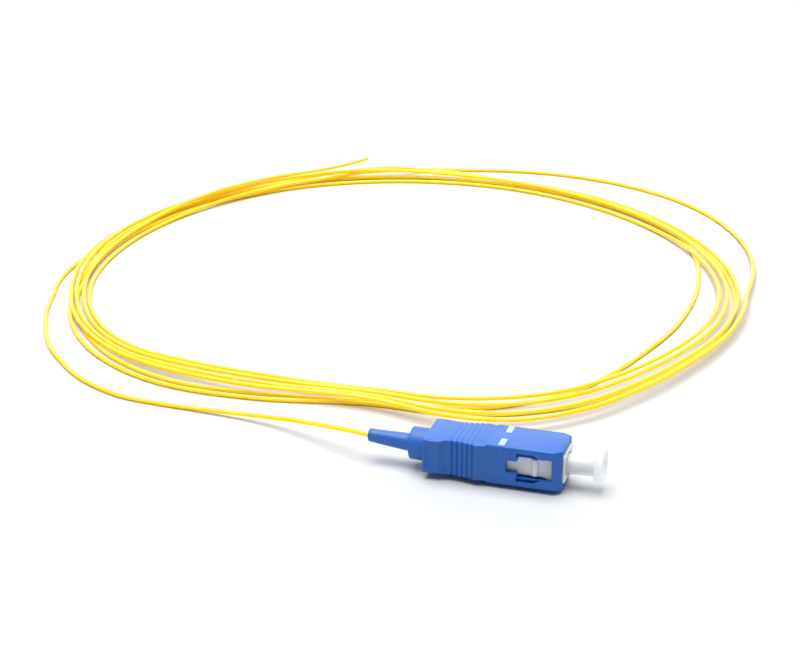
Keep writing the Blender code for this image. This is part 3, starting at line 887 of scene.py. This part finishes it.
def makeFlange():
    back, front = alongPlug(flangeBox[0][0]), alongPlug(flangeBox[1][0])
    outer, hole = ferrule["flangeRadius"], ferrule["flangeHole"]
    seatDeep, play = ferrule["seat"]
    seat = ferrule["radius"] + play
    rings = [(front, seat)]
    rings += [(front - along, outer - less) for along, less in ferrule["flangeFront"]]
    rings += [(back + along, outer - less) for along, less in ferrule["flangeRear"]]
    rings += [(back, hole), (front - seatDeep, hole), (front - seatDeep, seat)]
    body = turnAlong("flange_ring", rings, ring=True)
    deep, half, fromRim = ferrule["notch"]
    toolPast, toolHigh = ferrule["notchTool"]
    for turn in range(2):                  # four keying notches
        notch = block("notch", front - deep, front + toolPast, half, toolHigh)
        if turn:
            notch.rotation_euler = (math.pi / 2, 0, 0)
        work(notch, 'DIFFERENCE', rod("core", front - seatDeep, front + past, outer - fromRim, 32))
        work(body, 'DIFFERENCE', notch)
    soften(body, ferrule["flangeEdge"])
    return body


def ceramicMaterial():                     # ground zirconia: fine grinding rings, polished tip
    material, surface, place = startMaterial("ferrule ceramic")
    cloud = grain(surface, place, 0.8, detail=3.0).between(0.3, 0.7)
    rings = bands(surface, place, 3500.0, distortion=0.6, detail=2.0)
    tone = cloud.mix((0.86, 0.85, 0.81), (0.92, 0.91, 0.88))
    setSurface(material, surface, tone, 0.12 + rings * 0.06, rings, 0.001, coat_weight=0.4)
    return material


def turnedMetal(name, colour, roughness):  # lathe marks round the axis and a little tarnish
    material, surface, place = startMaterial(name)
    marks = bands(surface, place, 1600.0, distortion=1.2, detail=3.0)
    tarnish = grain(surface, place, 0.7, detail=5.0).between(0.45, 0.75)
    tone = (tarnish * 0.6).mix(colour, [value * 0.78 for value in colour])
    rough = roughness + marks * 0.1 + tarnish * 0.12
    setSurface(material, surface, tone, rough, marks, 0.003, metallic=1.0)
    return material


settle(makeFerrule(), ceramicMaterial(), "ferrule_unit", "ferrule_ceramic", "ferrule")
settle(makeFlange(), turnedMetal("nickel flange", (0.72, 0.70, 0.66), 0.22), "ferrule_unit",
       "flange_metal", "ferrule_flange")

bodyMetal = turnedMetal("brass rear body", (0.70, 0.58, 0.36), 0.26)
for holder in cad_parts["rear_body"].material_slots:
    holder.material = bodyMetal

print("stage: dust cap")

cap = {                                    # mm
    "tubeRadius": 1.85,
    "tubeRim": 0.12,
    "bore": 1.45,
    "boreEnd": (0.1, 0.2),                 # how far it is rounded, and the innermost radius
    "boreRoom": 0.35,                      # past the ferrule's tip
    "boreMouth": (0.25, 0.1),              # how deep, how much wider
    "flangeRadius": 2.98,
    "flangeLong": 1.6,
    "flangeRound": 0.28,
    "fillet": [(0.25, 0.0), (0.06, 0.06), (0.0, 0.25)],    # before the flange, how much thicker
    "dimple": [(0.0, 1.5), (0.04, 1.4), (0.16, 1.3), (0.2, 1.15), (0.2, 0.25)],    # depth and radius
    "lean": 0.045,                         # it sits a little askew on the ferrule, flange up
}
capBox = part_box("dust_cap")


def makeCap():
    back, front = alongPlug(capBox[0][0]), alongPlug(capBox[1][0])
    ferruleTip = alongPlug(ferruleBox[1][0])
    tube, bore, edge = cap["tubeRadius"], cap["bore"], cap["tubeRim"]
    outer, bend = cap["flangeRadius"], cap["flangeRound"]
    shoulder = front - cap["flangeLong"]
    inside = ferruleTip + cap["boreRoom"]
    less, core = cap["boreEnd"]
    deep, more = cap["boreMouth"]
    rings = [(inside, core), (inside, bore - less), (inside - less, bore), (back + deep, bore),
             (back, bore + more), (back, tube - edge), (back + edge, tube)]
    rings += [(shoulder - before, tube + more) for before, more in cap["fillet"]]
    rings += [(shoulder + bend - bend * cosine, outer - bend + bend * sine)
              for sine, cosine in quarterTurn(5, first=0)]
    rings += [(front - bend + bend * sine, outer - bend + bend * cosine)
              for sine, cosine in quarterTurn(5, first=0)]
    rings += [(front - deep, radius) for deep, radius in cap["dimple"]]
    pivot = (back + ferruleTip) / 2        # it leans about the middle of its grip on the ferrule
    return turnAlong("dust_cover", [(x, radius, cap["lean"] * (x - pivot)) for x, radius in rings])


def capMaterial():                         # milky soft plastic with faint soft clouds
    material, surface, place = startMaterial("milky cap plastic")
    cloud = grain(surface, place, 1.4, detail=3.0).between(0.3, 0.7)
    fine = grain(surface, place, 0.12, detail=3.0)
    tone = cloud.mix((0.90, 0.91, 0.93), (0.94, 0.95, 0.96))
    setSurface(material, surface, tone, 0.3 + fine * 0.1, fine, 0.008, alpha=0.5,
               subsurface_weight=0.2, subsurface_scale=0.002, subsurface_radius=(1.0, 1.0, 1.0))
    return material


settle(makeCap(), capMaterial(), "cap", "cap_plastic", "dust_cap")

print("stage: floor")


def makeFloor():
    bpy.ops.object.select_all(action='DESELECT')
    bpy.ops.mesh.primitive_plane_add(size=studio["floorSize"])
    floor = bpy.context.object
    floor.name = "floor"
    material, surface, place = startMaterial("white paper")
    tone, dark = studio["floorTone"], studio["floorTone"] - studio["floorCloud"]
    cloud = grain(surface, place, 60.0, detail=3.0)
    relief = grain(surface, place, 0.5, detail=3.0)
    colour = cloud.mix((dark, dark, tone), (tone, tone, tone))
    setSurface(material, surface, colour, 0.85, relief, 0.01)
    floor.data.materials.append(material)


makeFloor()
